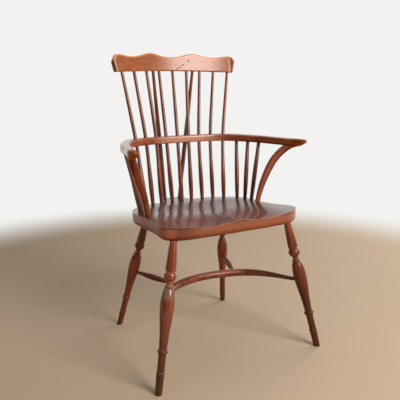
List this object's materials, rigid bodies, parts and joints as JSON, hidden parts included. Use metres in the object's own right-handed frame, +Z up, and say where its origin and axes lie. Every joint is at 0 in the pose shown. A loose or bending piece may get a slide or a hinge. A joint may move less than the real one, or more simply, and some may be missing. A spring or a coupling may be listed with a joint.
{
  "type": "windsor armchair",
  "caption": "comb-back windsor armchair in reddish-brown wood with turned legs, a crinoline stretcher and a braced back",
  "frame": {"origin": "on the floor, under the middle of the chair between its four feet", "axes": "+Z up; +X to the chair's right side as seen from the front; +Y to the back, the sitter faces -Y"},
  "size_m": [0.5978, 0.4984, 0.9303],
  "materials": {
    "seat_wood": "semi-gloss",
    "leg_wood": "satin",
    "stretcher_wood": "satin",
    "bow_wood": "satin",
    "crook_wood": "satin",
    "comb_wood": "satin",
    "spindle_wood": "satin",
    "peg_wood": "satin"
  },
  "bodies": {
    "root": {"seat": "seat_wood", "crinoline_stretcher": "stretcher_wood", "arm_bow": "bow_wood", "arm_pegs": "peg_wood", "comb_rail": "comb_wood", "leg_front_left": "leg_wood", "leg_front_right": "leg_wood", "leg_back_left": "leg_wood", "leg_back_right": "leg_wood", "spur_stretcher_left": "stretcher_wood", "spur_stretcher_right": "stretcher_wood", "arm_crook_left": "crook_wood", "arm_crook_right": "crook_wood", "brace_spindle_left": "spindle_wood", "brace_spindle_right": "spindle_wood", "short_spindle_left_1": "spindle_wood", "short_spindle_left_2": "spindle_wood", "short_spindle_left_3": "spindle_wood", "short_spindle_right_1": "spindle_wood", "short_spindle_right_2": "spindle_wood", "short_spindle_right_3": "spindle_wood", "long_spindle_1": "spindle_wood", "long_spindle_2": "spindle_wood", "long_spindle_3": "spindle_wood", "long_spindle_4": "spindle_wood", "long_spindle_5": "spindle_wood", "long_spindle_6": "spindle_wood", "long_spindle_7": "spindle_wood", "long_spindle_8": "spindle_wood", "long_spindle_9": "spindle_wood"}
  },
  "joints": []
}
